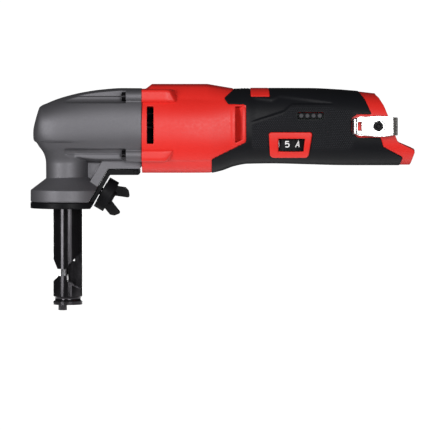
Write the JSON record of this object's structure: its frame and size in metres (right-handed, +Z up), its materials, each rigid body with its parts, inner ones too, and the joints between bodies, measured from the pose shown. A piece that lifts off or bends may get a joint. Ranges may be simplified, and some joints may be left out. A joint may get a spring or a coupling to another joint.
{
  "type": "cordless nibbler",
  "caption": "Barrel-grip cordless sheet-metal nibbler with a geared head, turnable round die holder, slide switch, speed dial and open battery socket.",
  "frame": {"origin": "on the axis of the round die holder, level with the underside of the clamp ring", "axes": "+X runs from the head to the battery end, +Z is up along the die holder's axis, the tool's left side faces -Y"},
  "size_m": [0.3015, 0.0669, 0.178],
  "materials": {
    "cast_housing": "satin",
    "red_plastic": "satin",
    "black_rubber": "matte",
    "black_oxide": "satin",
    "black_plastic": "satin",
    "smoked_lens": "gloss",
    "bright_steel": "polished",
    "black_screw": "satin",
    "steel": "satin",
    "copper": "satin",
    "bronze": "satin",
    "felt": "matte",
    "circuit_board": "satin",
    "red_wire": "satin"
  },
  "bodies": {
    "housing": {"gear_case": "cast_housing", "gear_plate": "steel", "gear_plate_screws": "steel", "case_screws": "black_screw", "shell_left": "red_plastic", "shell_right": "red_plastic", "grip_left": "black_rubber", "grip_right": "black_rubber", "shell_screws": "black_screw", "motor_stator": "steel", "motor_windings": "copper", "motor_bearing_front": "steel", "motor_bearing_rear": "steel", "motor_end_plate": "black_plastic", "idler_bearing_front": "steel", "idler_bearing_rear": "steel", "crank_bearing_front": "steel", "crank_bearing_rear": "steel", "plunger_bush": "bronze", "wiper_seal": "felt", "clamp_pin": "steel", "switch_body": "black_plastic", "switch_plate": "red_plastic", "dial_bezel": "red_plastic", "dial_sensor": "circuit_board", "gauge_lens": "smoked_lens", "gauge_board": "circuit_board", "control_board": "circuit_board", "motor_leads": "red_wire", "battery_leads": "black_plastic", "battery_contacts": "bronze", "contact_block": "black_plastic", "belt_clip": "bright_steel", "belt_clip_screw": "black_screw", "clip_insert_left": "bronze", "clip_insert_right": "bronze"},
    "rotor": {"rotor_core": "steel", "motor_shaft": "steel", "motor_fan": "black_plastic"},
    "idler": {"idler_pinion_shaft": "steel", "idler_gear": "steel"},
    "crank": {"crank_shaft": "steel", "crank_gear": "steel"},
    "roller": {"crank_roller": "steel"},
    "plunger": {"plunger": "steel"},
    "holder": {"die_holder": "black_oxide", "die": "steel", "die_lock_screw": "black_oxide"},
    "punch": {"punch": "steel"},
    "clamp": {"clamp_plate": "black_oxide"},
    "washer": {"wing_washer": "steel"},
    "wing": {"wing_knob": "black_oxide", "wing_stud": "steel"},
    "switch": {"switch_slider": "black_plastic"},
    "dial": {"speed_dial": "black_plastic"}
  },
  "joints": [
    {"name": "crank_spin", "type": "hinge", "parent": "housing", "child": "crank", "pos_m": [0, 0, 0.06001], "axis": [-1, 0, 0], "continuous": true},
    {"name": "idler_spin", "type": "hinge", "parent": "housing", "child": "idler", "pos_m": [0, -0.0135, 0.07001], "axis": [-1, 0, 0], "continuous": true},
    {"name": "rotor_spin", "type": "hinge", "parent": "housing", "child": "rotor", "pos_m": [0, 0, 0.065], "axis": [-1, 0, 0], "continuous": true},
    {"name": "roller_spin", "type": "hinge", "parent": "crank", "child": "roller", "pos_m": [0, 0.003, 0.06001], "axis": [-1, 0, 0], "continuous": true},
    {"name": "plunger_slide", "type": "slide", "parent": "housing", "child": "plunger", "axis": [0, 0, 1], "range_m": [-0.003, 0.003]},
    {"name": "die_holder_turn", "type": "hinge", "parent": "housing", "child": "holder", "pos_m": [0, 0, 0], "axis": [0, 0, 1], "continuous": true},
    {"name": "punch_slide", "type": "slide", "parent": "holder", "child": "punch", "axis": [0, 0, 1], "range_m": [-0.003, 0.003]},
    {"name": "wing_turn", "type": "hinge", "parent": "washer", "child": "wing", "pos_m": [0.0269, 0, 0.0128], "axis": [0.866, 0, -0.5], "range_deg": [0, 360]},
    {"name": "wing_lift", "type": "slide", "parent": "housing", "child": "washer", "axis": [0.866, 0, -0.5], "range_m": [0, 0.001]},
    {"name": "clamp_swing", "type": "hinge", "parent": "housing", "child": "clamp", "pos_m": [0.0535, 0, 0.0286], "axis": [0, -1, 0], "range_deg": [0, 2.2]},
    {"name": "switch_slide", "type": "slide", "parent": "housing", "child": "switch", "axis": [-1, 0, 0], "range_m": [0, 0.0045]},
    {"name": "dial_turn", "type": "hinge", "parent": "housing", "child": "dial", "pos_m": [0.1757, -0.0084, 0.0498], "axis": [0, 0, 1], "range_deg": [-27, 108]}
  ],
  "couplings": [
    {"joint": "idler_spin", "follows": "crank_spin", "ratio": -3},
    {"joint": "rotor_spin", "follows": "crank_spin", "ratio": 9},
    {"joint": "roller_spin", "follows": "crank_spin", "ratio": -1},
    {"joint": "punch_slide", "follows": "plunger_slide", "ratio": 1},
    {"joint": "wing_turn", "follows": "wing_lift", "rad_per_m": 6283.2},
    {"joint": "clamp_swing", "follows": "wing_lift", "rad_per_m": 37.06}
  ]
}
